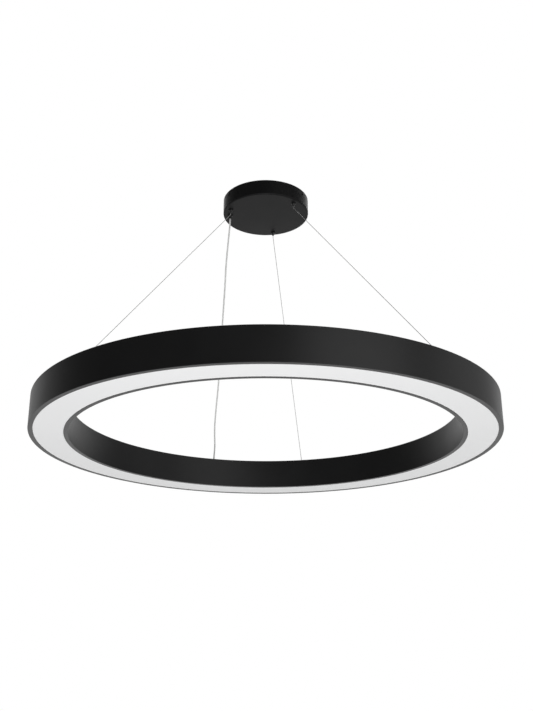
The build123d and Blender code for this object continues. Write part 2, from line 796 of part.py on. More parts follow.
# Steel wires: taut between a gripper's mouth and a fixing's mouth, with a tail inside each gripper

wire_tail_top = gripper_top + gripper_cap_flange + wire_tail - canopy_height
tail_rod = rod(wire_diameter, nozzle_mouth, wire_tail_top)
nodes["wire_tails"] = group(ring_of(tail_rod, gripper_radius, wire_bearings))
for name, bearing in zip(wire_names, wire_bearings):
    route = [
        polar(gripper_radius, bearing, nozzle_mouth),
        polar(gripper_radius, bearing, nozzle_mouth - wire_straight_length),
        polar(fixing_radius, bearing, fixing_mouth + wire_straight_length),
        polar(fixing_radius, bearing, fixing_mouth),
    ]
    nodes[f"suspension_wire_{name}"] = tube(route, [wire_bend_radius, wire_bend_radius], wire_diameter)

# Supply cable: each arc is as large as its two runs allow

cable_points = [Vector(*point) for point in cable_route]
cable_runs = [b - a for a, b in zip(cable_points, cable_points[1:])]
cable_radii = []
for before, after in zip(cable_runs, cable_runs[1:]):
    half_turn = radians(before.get_angle(after)) / 2
    cable_radii.append(cable_arc_share * min(before.length, after.length) / tan(half_turn))
supply_cable = tube(cable_points, cable_radii, cable_diameter)
nodes["supply_cable"] = supply_cable
cable_length = FilletPolyline(*cable_points, radius=cable_radii).length
print("cable arc radii", [round(radius, 1) for radius in cable_radii])
print("cable length", round(cable_length, 1), "runs", [round(run.length, 1) for run in cable_runs])
expected_volume = cable_length * pi * cable_diameter**2 / 4
print("cable volume", round(supply_cable.volume, 1), "section x length", round(expected_volume, 1))

os.makedirs("parts", exist_ok=True)
for name, shape in nodes.items():
    export_step(shape, f"parts/{name}.step")
print(len(nodes), "nodes")
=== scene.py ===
import json
from math import pi, radians, tau

import bmesh
import bpy
from mathutils import Matrix, Vector


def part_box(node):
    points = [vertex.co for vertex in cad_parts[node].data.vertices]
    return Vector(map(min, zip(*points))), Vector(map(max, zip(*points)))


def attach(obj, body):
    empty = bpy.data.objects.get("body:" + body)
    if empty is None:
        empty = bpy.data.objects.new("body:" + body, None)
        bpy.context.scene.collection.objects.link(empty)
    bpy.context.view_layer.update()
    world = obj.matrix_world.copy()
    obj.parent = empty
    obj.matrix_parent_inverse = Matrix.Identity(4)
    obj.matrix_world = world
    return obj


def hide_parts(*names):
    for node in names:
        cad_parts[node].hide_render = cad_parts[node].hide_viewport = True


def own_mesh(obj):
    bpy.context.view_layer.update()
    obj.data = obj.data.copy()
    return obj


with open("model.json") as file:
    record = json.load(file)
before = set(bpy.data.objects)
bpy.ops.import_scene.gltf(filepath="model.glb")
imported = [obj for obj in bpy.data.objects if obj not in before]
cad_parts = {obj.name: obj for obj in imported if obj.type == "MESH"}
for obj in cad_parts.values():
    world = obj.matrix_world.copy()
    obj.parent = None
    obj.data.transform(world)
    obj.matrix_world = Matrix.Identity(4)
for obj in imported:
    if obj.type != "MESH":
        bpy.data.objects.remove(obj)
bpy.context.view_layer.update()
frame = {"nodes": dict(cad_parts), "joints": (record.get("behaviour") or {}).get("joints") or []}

# Ceiling plate: a disc of zinc-plated steel sheet with three tabs bent down from its rim.
# It is screwed to the ceiling and carries everything in the canopy. The plating shows faint
# crystals, and the screws and nuts that hold the light together have the same finish.


class Signal:
    """A node's output socket. Arithmetic on signals adds Math nodes to the tree they are in."""

    def __init__(self, socket):
        self.socket = socket

    def link(self, socket):
        """Feeds this signal into another node's socket."""
        self.socket.id_data.links.new(self.socket, socket)

    def node(self, kind, settings=None, sockets=None, output=0):
        """Adds a node to this tree: its settings first, then its sockets' values or links."""
        node = self.socket.id_data.nodes.new(kind)
        for name, value in (settings or {}).items():
            setattr(node, name, value)
        for key, value in (sockets or {}).items():
            if isinstance(value, Signal):
                value.link(node.inputs[key])
            else:
                node.inputs[key].default_value = value
        return Signal(node.outputs[output])

    def math(self, operation, *terms):
        return self.node("ShaderNodeMath", {"operation": operation}, dict(enumerate(terms)))

    def __add__(self, other):
        return self.math("ADD", self, other)

    def __radd__(self, other):
        return self.math("ADD", other, self)

    def __sub__(self, other):
        return self.math("SUBTRACT", self, other)

    def __rsub__(self, other):
        return self.math("SUBTRACT", other, self)

    def __mul__(self, other):
        return self.math("MULTIPLY", self, other)

    def __rmul__(self, other):
        return self.math("MULTIPLY", other, self)

    def __truediv__(self, other):
        return self.math("DIVIDE", self, other)

    def __pow__(self, other):
        return self.math("POWER", self, other)

    def step(self, low, high):
        """0 below low, 1 above high and a smooth rise between them."""
        return self.node(
            "ShaderNodeMapRange",
            {"interpolation_type": "SMOOTHSTEP"},
            {"Value": self, "From Min": low, "From Max": high},
        )

    def mix(self, first, second):
        """The first colour where this signal is 0, the second where it is 1."""
        return self.node("ShaderNodeMix", {"data_type": "RGBA"}, {0: self, 6: first, 7: second}, 2)

    def noise(self, scale, detail=2.0):
        """Even noise over these coordinates, at this many waves to the metre."""
        return self.node("ShaderNodeTexNoise", None, {"Vector": self, "Scale": scale, "Detail": detail})

    def axes(self):
        """The three parts of a vector."""
        parts = self.node("ShaderNodeSeparateXYZ", None, {"Vector": self}).socket.node.outputs
        return [Signal(part) for part in parts]

    def bump(self, depth, strength=1.0):
        """A surface normal, from this signal as a height between 0 and the depth."""
        return self.node(
            "ShaderNodeBump", None, {"Strength": strength, "Distance": depth, "Height": self}, "Normal"
        )


def finish(name, constants):
    """A material, its shader with these constants, and the coordinates of the piece it is on."""
    material = bpy.data.materials.new(name)
    material.use_nodes = True
    shader = material.node_tree.nodes["Principled BSDF"]
    for socket, value in constants.items():
        shader.inputs[socket].default_value = value
    coordinates = material.node_tree.nodes.new("ShaderNodeTexCoord")
    return material, shader, Signal(coordinates.outputs["Object"])


def feed(shader, signals):
    """Links signals to the shader's sockets by name."""
    for socket, signal in signals.items():
        signal.link(shader.inputs[socket])


def coat(material, *nodes):
    """Gives CAD nodes this finish."""
    for node in nodes:
        for slot in frame["nodes"][node].material_slots:
            slot.material = material


def zinc_plating(name, pale, dark, crystal):
    """Dull plating: crystals of a given size, each a little lighter or darker than the next."""
    material, shader, place = finish(name, {"Metallic": 1.0})
    cells = place.node("ShaderNodeTexVoronoi", None, {"Vector": place, "Scale": 1 / crystal}, "Color")
    shade = cells.axes()[0]
    haze = place.noise(60.0, 4.0)
    feed(
        shader,
        {
            "Base Color": (shade * 0.7 + haze * 0.3).mix(dark, pale),
            "Roughness": 0.42 + 0.2 * haze,
            "Normal": shade.bump(0.00001),
        },
    )
    return material


plated_steel = zinc_plating(
    "plated_steel", pale=(0.44, 0.45, 0.46, 1), dark=(0.30, 0.31, 0.32, 1), crystal=0.006
)
coat(
    plated_steel,
    "ceiling_plate",
    "driver_screws",
    "earth_screw",
    "top_plate_screws",
    "tray_standoffs",
    "standoff_screws",
    "board_screws",
    "fixing_nuts",
    "gripper_nuts",
    "wire_ends",
)

# Cable entry grommet: a ring of soft black rubber pressed into the ceiling plate's hole.
# The grommet in the LED tray is the same rubber. Its bloom leaves it dull and slightly grey.


def dull_rubber():
    material, shader, place = finish("black_rubber", {"Specular IOR Level": 0.35})
    bloom = place.noise(240.0, 5.0)
    feed(
        shader,
        {
            "Base Color": bloom.mix((0.010, 0.010, 0.010, 1), (0.026, 0.026, 0.025, 1)),
            "Roughness": 0.62 + 0.22 * bloom,
            "Normal": place.noise(1500.0).bump(0.00004),
        },
    )
    return material


coat(dull_rubber(), "entry_grommet", "tray_grommet")

# LED driver: a white moulded case over a bare aluminium base, screwed up under the plate.
# The case has a fine spark texture from its mould, and the base shows the sheet's rolling lines.


def rolled_sheet():
    """Bare aluminium with rolling lines drawn out along X."""
    material, shader, place = finish("driver_metal", {"Metallic": 1.0})
    along, across, height = place.axes()
    drawn_out = along.node("ShaderNodeCombineXYZ", None, {0: along * 0.03, 1: across, 2: height})
    lines = drawn_out.noise(1800.0, 3.0)
    feed(
        shader,
        {
            "Base Color": lines.mix((0.52, 0.53, 0.54, 1), (0.66, 0.67, 0.68, 1)),
            "Roughness": 0.25 + 0.25 * lines,
            "Normal": lines.bump(0.00001),
        },
    )
    return material


def moulded(name, pale, dark, grain, roughness):
    """Moulded plastic with a spark-textured skin of a given grain."""
    material, shader, place = finish(name, {"IOR": 1.49})
    skin = place.noise(1 / grain, 3.0)
    cloud = place.noise(35.0, 3.0)
    feed(
        shader,
        {
            "Base Color": cloud.mix(dark, pale),
            "Roughness": roughness + 0.15 * skin,
            "Normal": skin.bump(0.00005, 0.5),
        },
    )
    return material


coat(rolled_sheet(), "driver_base")
driver_white = moulded(
    "driver_white", pale=(0.80, 0.80, 0.79, 1), dark=(0.74, 0.74, 0.72, 1), grain=0.0006, roughness=0.42
)
coat(driver_white, "driver_case")

# Terminal blocks and board connectors: white nylon mouldings. The mains leads between the
# terminal block and the driver are single cores in brown sheaths.

connector_white = moulded(
    "connector_white", pale=(0.80, 0.80, 0.77, 1), dark=(0.70, 0.69, 0.65, 1), grain=0.0009, roughness=0.35
)
coat(connector_white, "mains_terminal", "ring_terminal", "board_links")
lead_brown = moulded(
    "lead_brown", pale=(0.17, 0.065, 0.03, 1), dark=(0.13, 0.045, 0.022, 1), grain=0.0012, roughness=0.30
)
coat(lead_brown, "mains_leads")

# Canopy cover: a steel cup pressed from one sheet, closed below, with rolled edges.
# It is powder-coated satin black, and hangs from the plate's tabs by three screws in its side.
# Holes in its floor take the three wire grippers and the cord gland.


def powder_coat(name, roughness, shine):
    """Black powder coat: a fine orange-peel skin with slightly duller and darker patches."""
    material, shader, place = finish(name, {"IOR": 1.5, "Specular IOR Level": shine})
    peel = place.noise(620.0, 1.0)
    grit = place.noise(2400.0, 2.0)
    patches = place.noise(9.0, 3.0)
    dark = (0.0035, 0.0035, 0.0037, 1)
    pale = (0.006, 0.006, 0.0062, 1)
    feed(
        shader,
        {
            "Base Color": (grit * 0.6 + patches * 0.4).mix(dark, pale),
            "Roughness": roughness + 0.10 * patches + 0.05 * grit,
            "Normal": (peel * 0.8 + grit * 0.2).bump(0.00008, 0.55),
        },
    )
    return material


def node_tree(name, inputs):
    """An empty Geometry Nodes tree, and its named inputs as signals."""
    tree = bpy.data.node_groups.new(name, "GeometryNodeTree")
    tree.interface.new_socket("Geometry", in_out="OUTPUT", socket_type="NodeSocketGeometry")
    for label, kind in inputs.items():
        tree.interface.new_socket(label, in_out="INPUT", socket_type="NodeSocket" + kind)
    entry = tree.nodes.new("NodeGroupInput")
    return tree, {label: Signal(entry.outputs[label]) for label in inputs}


def end_tree(tree, shape, material):
    """Ends a tree: smooth faces, real geometry and its finish."""
    smooth = shape.node("GeometryNodeSetShadeSmooth", None, {"Geometry": shape})
    real = smooth.node("GeometryNodeRealizeInstances", None, {"Geometry": smooth})
    painted = real.node("GeometryNodeSetMaterial", None, {"Geometry": real, "Material": material})
    painted.link(tree.nodes.new("NodeGroupOutput").inputs[0])


def grow(name, seed, tree, sizes):
    """A piece whose seed mesh a node tree turns into its shape."""
    piece = bpy.data.objects.new(name, seed)
    bpy.context.scene.collection.objects.link(piece)
    modifier = piece.modifiers.new(tree.name, "NODES")
    modifier.node_group = tree
    for item in tree.interface.items_tree:
        if item.in_out == "INPUT" and item.name in sizes:
            modifier[item.identifier] = sizes[item.name]
    return piece


def settle(piece):
    """Makes what a piece's modifiers give its own plain mesh."""
    graph = bpy.context.evaluated_depsgraph_get()
    mesh = bpy.data.meshes.new_from_object(
        piece.evaluated_get(graph), preserve_all_data_layers=True, depsgraph=graph
    )
    piece.modifiers.clear()
    piece.data = mesh


axle = 1.0  # radius of the circle that an outline is carried round
arc_steps = 4  # points on a rounded corner
weld = 0.000001

turning, turned_in = node_tree(
    "turned_section", {"Outline": "Geometry", "Segments": "Int", "Finish": "Material"}
)
outline = turned_in["Outline"].node("GeometryNodeMeshToCurve", None, {"Mesh": turned_in["Outline"]})
rounding = outline.node("GeometryNodeInputNamedAttribute", {"data_type": "FLOAT"}, {"Name": "rounding"})
rounded = outline.node(
    "GeometryNodeFilletCurve",
    {"mode": "POLY"},
    {"Curve": outline, "Count": arc_steps, "Radius": rounding, "Limit Radius": True},
)
way_round = outline.node(
    "GeometryNodeCurvePrimitiveCircle", None, {"Resolution": turned_in["Segments"], "Radius": axle}
)
swept = outline.node("GeometryNodeCurveToMesh", None, {"Curve": way_round, "Profile Curve": rounded})
welded = swept.node("GeometryNodeMergeByDistance", None, {"Geometry": swept, "Distance": weld})
end_tree(turning, welded, turned_in["Finish"])


def turned(name, corners, segments, material, closed=True):
    """A piece turned about Z from (radius, height, rounding) corners, clockwise round its section."""
    seed = bpy.data.meshes.new(name)
    edges = [(k, k + 1) for k in range(len(corners) - 1)]
    if closed:
        edges.append((len(corners) - 1, 0))
    seed.from_pydata([(radius - axle, -height, 0) for radius, height, _ in corners], edges, [])
    soft = seed.attributes.new("rounding", "FLOAT", "POINT")
    soft.data.foreach_set("value", [corner[2] for corner in corners])
    return grow(name, seed, turning, {"Segments": segments, "Finish": material})


hole_segments = 32


def pegs(name, places, diameter, length):
    """Round cutters for holes, centred at these matrices with their axes along Z."""
    shape = bmesh.new()
    for place in places:
        bmesh.ops.create_cone(
            shape,
            cap_ends=True,
            segments=hole_segments,
            radius1=diameter / 2,
            radius2=diameter / 2,
            depth=length,
            matrix=place,
        )
    mesh = bpy.data.meshes.new(name)
    shape.to_mesh(mesh)
    shape.free()
    cutter = bpy.data.objects.new(name, mesh)
    bpy.context.scene.collection.objects.link(cutter)
    return cutter


def machined(piece, *cutters):
    """A turned piece with its holes cut and its broad faces shaded flat, as a plain mesh."""
    for cutter in cutters:
        hole = piece.modifiers.new("hole", "BOOLEAN")
        hole.operation = "DIFFERENCE"
        hole.solver = "EXACT"
        hole.object = cutter
    even = piece.modifiers.new("even_faces", "WEIGHTED_NORMAL")
    even.weight = 100  # the broadest face at a corner decides its shading
    settle(piece)
    for cutter in cutters:
        bpy.data.objects.remove(cutter)


def round_z(bearing, radius, height):
    """A place at a bearing in degrees round the vertical axis, turned to face outwards."""
    turn = Matrix.Rotation(radians(bearing), 4, "Z")
    return turn @ Matrix.Translation((radius, 0, height))


cover_low, cover_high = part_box("canopy_cover")
cover_radius = cover_high.x
cover_sheet = 0.0015
cover_edge = 0.004
cover_rim_edge = 0.0004
cover_segments = 192
cutter_length = 6 * cover_sheet  # well through the sheet
wire_names = "abc"
wire_spacing = 360 / len(wire_names)
far_wire_bearing = 78.2
wire_bearings = [far_wire_bearing + wire_spacing * k for k in range(len(wire_names))]
gripper_radius = 0.103
gland_radius = 0.101
gland_bearing = 180.0
floor_hole = 0.0101
screw_hole = 0.0041
cover_screw_bearings = [90.0, 210.0, 330.0]
screws_low, screws_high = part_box("cover_screws")
screw_level = (screws_low.z + screws_high.z) / 2

canopy_black = powder_coat("canopy_black", roughness=0.42, shine=0.15)
canopy_cover = turned(
    "canopy_cover_pressed",
    [
        (0.0, cover_low.z + cover_sheet, 0.0),
        (cover_radius - cover_sheet, cover_low.z + cover_sheet, cover_edge - cover_sheet),
        (cover_radius - cover_sheet, cover_high.z, cover_rim_edge),
        (cover_radius, cover_high.z, cover_rim_edge),
        (cover_radius, cover_low.z, cover_edge),
        (0.0, cover_low.z, 0.0),
    ],
    cover_segments,
    canopy_black,
    closed=False,
)
floor_places = [round_z(bearing, gripper_radius, cover_low.z) for bearing in wire_bearings]
floor_places.append(round_z(gland_bearing, gland_radius, cover_low.z))
outwards = Matrix.Rotation(pi / 2, 4, "Y")
side_places = [round_z(bearing, cover_radius, screw_level) @ outwards for bearing in cover_screw_bearings]
machined(
    canopy_cover,
    pegs("floor_holes", floor_places, floor_hole, cutter_length),
    pegs("side_holes", side_places, screw_hole, cutter_length),
)
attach(canopy_cover, "canopy")
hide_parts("canopy_cover")

# Cover screws: three machine screws of black-oxide steel with pan heads, through the cover's
# side into the plate's tabs. They clamp the cover, and their heads are all that shows of them.


def black_oxide():
    material, shader, place = finish("black_screw", {"Metallic": 0.7})
    stain = place.noise(500.0, 4.0)
    feed(
        shader,
        {
            "Base Color": stain.mix((0.012, 0.012, 0.013, 1), (0.035, 0.034, 0.034, 1)),
            "Roughness": 0.32 + 0.2 * stain,
            "Normal": place.noise(2500.0).bump(0.00002),
        },
    )
    return material


coat(black_oxide(), "cover_screws")

# Wire grippers: black-plated turned brass barrels bolted through the cover's floor, with a cap
# on top and a sprung plunger whose nose sticks out below. Pushing the nose up frees the wire,
# which three hardened balls in the plunger's cage otherwise clamp.


def turned_brass():
    """Black plating over turned brass, with the tool's rings still faintly there."""
    material, shader, place = finish("black_turned", {"IOR": 1.6})
    rings = place.node(
        "ShaderNodeTexWave",
        {"wave_type": "BANDS", "bands_direction": "Z"},
        {"Vector": place, "Scale": 620.0, "Distortion": 0.4},
        "Fac",
    )
    wear = place.noise(420.0, 3.0)
    feed(
        shader,
        {
            "Base Color": wear.mix((0.005, 0.005, 0.005, 1), (0.010, 0.010, 0.011, 1)),
            "Roughness": 0.30 + 0.15 * wear,
            "Normal": rings.bump(0.00002, 0.6),
        },
    )
    return material


def polished_steel():
    material, shader, place = finish("bright_steel", {"Metallic": 1.0})
    scuff = place.noise(900.0, 4.0)
    feed(
        shader,
        {
            "Base Color": scuff.mix((0.60, 0.61, 0.62, 1), (0.74, 0.75, 0.76, 1)),
            "Roughness": 0.12 + 0.18 * scuff,
        },
    )
    return material


black_turned = turned_brass()
bright_steel = polished_steel()
coat(black_turned, "gripper_caps")
for name in wire_names:
    coat(black_turned, f"gripper_barrel_{name}", f"gripper_plunger_{name}", f"wire_fixing_{name}")
    coat(bright_steel, f"gripper_balls_{name}")

# Return springs: a few turns of bright spring wire between each plunger's cage and the cap.
# The cap holds the upper end, so the spring shortens upwards when the plunger is pushed in.

spring_wire = 0.0005
spring_turns = 4.5
spring_steps = 40  # points to a turn
spring_sides = 10

coiling, coil_in = node_tree(
    "return_spring",
    {
        "Turns": "Float",
        "Steps": "Int",
        "Coil radius": "Float",
        "Wire radius": "Float",
        "Sides": "Int",
        "Height": "Float",
        "Foot": "Vector",
        "Finish": "Material",
    },
)
coil = coil_in["Turns"].node(
    "GeometryNodeCurveSpiral",
    None,
    {
        "Resolution": coil_in["Steps"],
        "Rotations": coil_in["Turns"],
        "Start Radius": coil_in["Coil radius"],
        "End Radius": coil_in["Coil radius"],
        "Height": coil_in["Height"],
    },
)
stood = coil.node("GeometryNodeTransform", None, {"Geometry": coil, "Translation": coil_in["Foot"]})
spring_round = coil.node(
    "GeometryNodeCurvePrimitiveCircle",
    None,
    {"Resolution": coil_in["Sides"], "Radius": coil_in["Wire radius"]},
)
wound = stood.node(
    "GeometryNodeCurveToMesh", None, {"Curve": stood, "Profile Curve": spring_round, "Fill Caps": True}
)
end_tree(coiling, wound, coil_in["Finish"])


def travel_of(slide):
    """How far a sliding joint goes from rest."""
    return next(joint for joint in frame["joints"] if joint["name"] == slide)["range_m"][1]


for name, bearing in zip(wire_names, wire_bearings):
    low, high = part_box(f"gripper_spring_{name}")
    centre = round_z(bearing, gripper_radius, low.z + spring_wire / 2).translation
    spring = grow(
        f"return_spring_{name}",
        bpy.data.meshes.new(f"return_spring_{name}"),
        coiling,
        {
            "Turns": spring_turns,
            "Steps": spring_steps,
            "Coil radius": (high.x - low.x - spring_wire) / 2,
            "Wire radius": spring_wire / 2,
            "Sides": spring_sides,
            "Height": high.z - low.z - spring_wire,
            "Foot": centre,
            "Finish": bright_steel,
        },
    )
    settle(spring)
    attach(spring, "canopy")
    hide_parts(f"gripper_spring_{name}")
    1 - travel_of(f"release_{name}") / (high.z - low.z)
    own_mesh(spring)

# Cord glands: black nylon mouldings with a tapered nose, one in the canopy's floor and one on
# the ring. A nut behind the sheet holds each, and its nose grips the supply cable.

black_plastic = moulded(
    "black_plastic",
    pale=(0.014, 0.014, 0.014, 1),
    dark=(0.007, 0.007, 0.007, 1),
    grain=0.0005,
    roughness=0.38,
)
coat(black_plastic, "canopy_gland", "canopy_gland_nut", "ring_gland", "ring_gland_nut")

# Suspension wires: stainless rope of six wires laid round a seventh, drawn tight between a
# gripper's nose and a fixing on the ring. They carry the ring, so they run dead straight
# between two short bends.

rope_diameter = 0.0015
strand_radius = rope_diameter / 6  # three wires lie across the rope
strand_sides = 6
outer_wires = 6
rope_lay = 0.011
rope_step = 0.0011
wire_straight = 0.004  # at each end
wire_turn = 6 * rope_diameter  # how far from a bend the straight run starts
fixing_radius = 0.546
route_steps = 12  # points to a span of a cord's route
lift = travel_of("ring_height")


def strand_steel():
    material, shader, place = finish("steel_wire", {"Metallic": 1.0})
    tarnish = place.noise(800.0, 3.0)
    feed(
        shader,
        {
            "Base Color": tarnish.mix((0.5, 0.5, 0.5, 1), (0.6, 0.6, 0.59, 1)),
            "Roughness": 0.68 + 0.14 * tarnish,
        },
    )
    return material


def smooth_line(name, route):
    """The smooth line of a route's points, as a mesh of points and edges in order."""
    curve = bpy.data.curves.new(name, "CURVE")
    curve.dimensions = "3D"
    curve.resolution_u = route_steps
    spline = curve.splines.new("NURBS")
    spline.points.add(len(route) - 1)
    for point, place in zip(spline.points, route):
        point.co = (*place, 1.0)
    spline.order_u = 3
    spline.use_endpoint_u = True
    carrier = bpy.data.objects.new(name, curve)
    mesh = bpy.data.meshes.new_from_object(carrier)
    bpy.data.objects.remove(carrier)
    return mesh


def scaled(vector, amount):
    return vector.node("ShaderNodeVectorMath", {"operation": "SCALE"}, {"Vector": vector, "Scale": amount})


laying, rope_in = node_tree(
    "laid_rope",
    {
        "Line": "Geometry",
        "Outer wires": "Int",
        "Wire radius": "Float",
        "Sides": "Int",
        "Lay": "Float",
        "Step": "Float",
        "Finish": "Material",
    },
)
rope_line = rope_in["Line"].node("GeometryNodeMeshToCurve", None, {"Mesh": rope_in["Line"]})
core = rope_line.node(
    "GeometryNodeResampleCurve", {"mode": "LENGTH"}, {"Curve": rope_line, "Length": rope_in["Step"]}
)
copies = core.node(
    "GeometryNodeDuplicateElements",
    {"domain": "SPLINE"},
    {"Geometry": core, "Amount": rope_in["Outer wires"]},
)
which = Signal(copies.socket.node.outputs["Duplicate Index"])
rope_run = core.node("GeometryNodeSplineParameter", output="Length")
strand_turn = (rope_run / rope_in["Lay"] + which / rope_in["Outer wires"]) * tau
normal = core.node("GeometryNodeInputNormal")
tangent = core.node("GeometryNodeInputTangent")
sideways = normal.node("ShaderNodeVectorMath", {"operation": "CROSS_PRODUCT"}, {0: tangent, 1: normal})
lay_radius = 2 * rope_in["Wire radius"]
offset = normal.node(
    "ShaderNodeVectorMath",
    {"operation": "ADD"},
    {
        0: scaled(normal, lay_radius * strand_turn.math("COSINE", strand_turn)),
        1: scaled(sideways, lay_radius * strand_turn.math("SINE", strand_turn)),
    },
)
laid = copies.node("GeometryNodeSetPosition", None, {"Geometry": copies, "Offset": offset})
strands = laid.node("GeometryNodeJoinGeometry", None, {"Geometry": laid})
core.link(strands.socket.node.inputs["Geometry"])
strand_round = core.node(
    "GeometryNodeCurvePrimitiveCircle",
    None,
    {"Resolution": rope_in["Sides"], "Radius": rope_in["Wire radius"]},
)
drawn = strands.node(
    "GeometryNodeCurveToMesh", None, {"Curve": strands, "Profile Curve": strand_round, "Fill Caps": True}
)
end_tree(laying, drawn, rope_in["Finish"])

steel_wire = strand_steel()
coat(steel_wire, "wire_tails")
for name, bearing in zip(wire_names, wire_bearings):
    low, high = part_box(f"suspension_wire_{name}")
    top = round_z(bearing, gripper_radius, high.z).translation
    foot = round_z(bearing, fixing_radius, low.z).translation
    bend = top - Vector((0, 0, wire_straight))
    landing = foot + Vector((0, 0, wire_straight))
    run = (landing - bend).normalized() * wire_turn
    wire_line = smooth_line(f"wire_line_{name}", [top, bend, bend + run, landing - run, landing, foot])
    rope = grow(
        f"steel_rope_{name}",
        wire_line,
        laying,
        {
            "Outer wires": outer_wires,
            "Wire radius": strand_radius,
            "Sides": strand_sides,
            "Lay": rope_lay,
            "Step": rope_step,
            "Finish": steel_wire,
        },
    )
    settle(rope)
    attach(rope, "canopy")
    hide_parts(f"suspension_wire_{name}")
    1 - lift / (top.z - foot.z)
    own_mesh(rope)

# Supply cable: two tinned cores twisted in a pale clear sheath, from the canopy's gland to the
# ring's. It is a little longer than the straight way, so it hangs in a shallow curve beside the
# wires and turns upright again at the ring. Its ends inside the canopy and the ring match it.

cable_diameter = 0.0044
cable_sides = 20
cable_lay = 0.046  # length of one twist of the cores
cable_step = 0.003
cable_route = [
    (-0.1010, 0.0000, -0.0545),
    (-0.1010, 0.0000, -0.0640),
    (-0.1020, 0.0050, -0.0790),
    (-0.1045, 0.0170, -0.0990),
    (-0.1085, 0.0380, -0.1260),
    (-0.1140, 0.0720, -0.1665),
    (-0.1175, 0.1100, -0.2120),
    (-0.1225, 0.1490, -0.2570),
    (-0.1270, 0.1880, -0.3005),
    (-0.1315, 0.2280, -0.3435),
    (-0.1363, 0.2680, -0.3850),
    (-0.1410, 0.3090, -0.4260),
    (-0.1465, 0.3490, -0.4645),
    (-0.1520, 0.3840, -0.4965),
    (-0.1560, 0.4150, -0.5230),
    (-0.1585, 0.4430, -0.5450),
    (-0.1593, 0.4680, -0.5630),
    (-0.1596, 0.4900, -0.5780),
    (-0.1608, 0.5070, -0.5900),
    (-0.1623, 0.5165, -0.5995),
    (-0.1633, 0.5210, -0.6090),
    (-0.1633, 0.5210, -0.6185),
]
cable_drop = cable_route[0][2] - cable_route[-1][2]


def clear_sheath():
    """Clear sheath over twisted cores, which show as pale bands with darker gaps between."""
    material, shader, place = finish("clear_cable", {"Roughness": 0.22, "IOR": 1.5})
    read = {"attribute_type": "GEOMETRY"}
    along = place.node("ShaderNodeAttribute", {**read, "attribute_name": "along"}, None, "Fac")
    around = place.node("ShaderNodeAttribute", {**read, "attribute_name": "around"}, None, "Vector")
    east, north, _ = around.axes()
    twist = along * (tau / cable_lay)
    facing = east * twist.math("COSINE", twist) + north * twist.math("SINE", twist)
    cores = (facing * facing).step(0.05, 0.6)
    haze = place.noise(120.0, 3.0)
    gap = (0.56, 0.56, 0.555, 1)
    tinned = (0.69, 0.69, 0.68, 1)
    feed(shader, {"Base Color": (cores * 0.8 + haze * 0.2).mix(gap, tinned)})
    return material


sheathing, cable_in = node_tree(
    "sheathed_cable",
    {"Line": "Geometry", "Radius": "Float", "Sides": "Int", "Step": "Float", "Finish": "Material"},
)
cable_run = cable_in["Line"].node("GeometryNodeMeshToCurve", None, {"Mesh": cable_in["Line"]})
evened = cable_run.node(
    "GeometryNodeResampleCurve", {"mode": "LENGTH"}, {"Curve": cable_run, "Length": cable_in["Step"]}
)
measured = evened.node(
    "GeometryNodeStoreNamedAttribute",
    {"data_type": "FLOAT", "domain": "POINT"},
    {
        "Geometry": evened,
        "Name": "along",
        "Value": evened.node("GeometryNodeSplineParameter", output="Length"),
    },
)
cable_round = evened.node(
    "GeometryNodeCurvePrimitiveCircle",
    None,
    {"Resolution": cable_in["Sides"], "Radius": cable_in["Radius"]},
)
round_point = evened.node("GeometryNodeInputPosition")
faced = cable_round.node(
    "GeometryNodeStoreNamedAttribute",
    {"data_type": "FLOAT_VECTOR", "domain": "POINT"},
    {"Geometry": cable_round, "Name": "around", "Value": scaled(round_point, 2 / cable_diameter)},
)
sheathed = measured.node(
    "GeometryNodeCurveToMesh", None, {"Curve": measured, "Profile Curve": faced, "Fill Caps": True}
)
end_tree(sheathing, sheathed, cable_in["Finish"])

clear_cable = clear_sheath()
cable_line = smooth_line("cable_line", cable_route)
supply_cable = grow(
    "sheathed_supply_cable",
    cable_line,
    sheathing,
    {"Radius": cable_diameter / 2, "Sides": cable_sides, "Step": cable_step, "Finish": clear_cable},
)
settle(supply_cable)
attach(supply_cable, "canopy")
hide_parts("supply_cable")
1 - lift / cable_drop
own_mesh(supply_cable)
lead_sheath = moulded(
    "clear_lead", pale=(0.58, 0.58, 0.57, 1), dark=(0.46, 0.46, 0.45, 1), grain=0.002, roughness=0.2
)
coat(lead_sheath, "output_lead", "ring_cable_tail", "feed_lead")

# Ring walls: two rolled aluminium sections, powder-coated satin black, one outside and one
# inside. Each has a lip below that the diffuser rests on and a rib above for the top plate,
# with tapped holes for the plate's screws. Their visible edges are rounded.

outer_low, outer_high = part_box("outer_wall")
ring_radius = outer_high.x
ring_top = outer_high.z
ring_base = outer_low.z
ring_band = 0.098
inner_radius = ring_radius - ring_band
middle_radius = ring_radius - ring_band / 2
wall = 0.0025
outer_lip = 0.012
inner_lip = 0.011
lip_thickness = 0.002
lip_edge = 0.0007
hidden_edge = 0.0002
ledge = 0.006
ledge_thickness = 0.002
plate_thickness = 0.002
ring_segments = 480
plate_screw_hole = 0.0026
plate_screw_depth = 0.006
plate_screw_count = 18
plate_screw_spacing = 360 / plate_screw_count
plate_screw_bearings = [plate_screw_spacing * (k + 0.5) for k in range(plate_screw_count)]

ring_black = powder_coat("ring_black", roughness=0.34, shine=0.42)


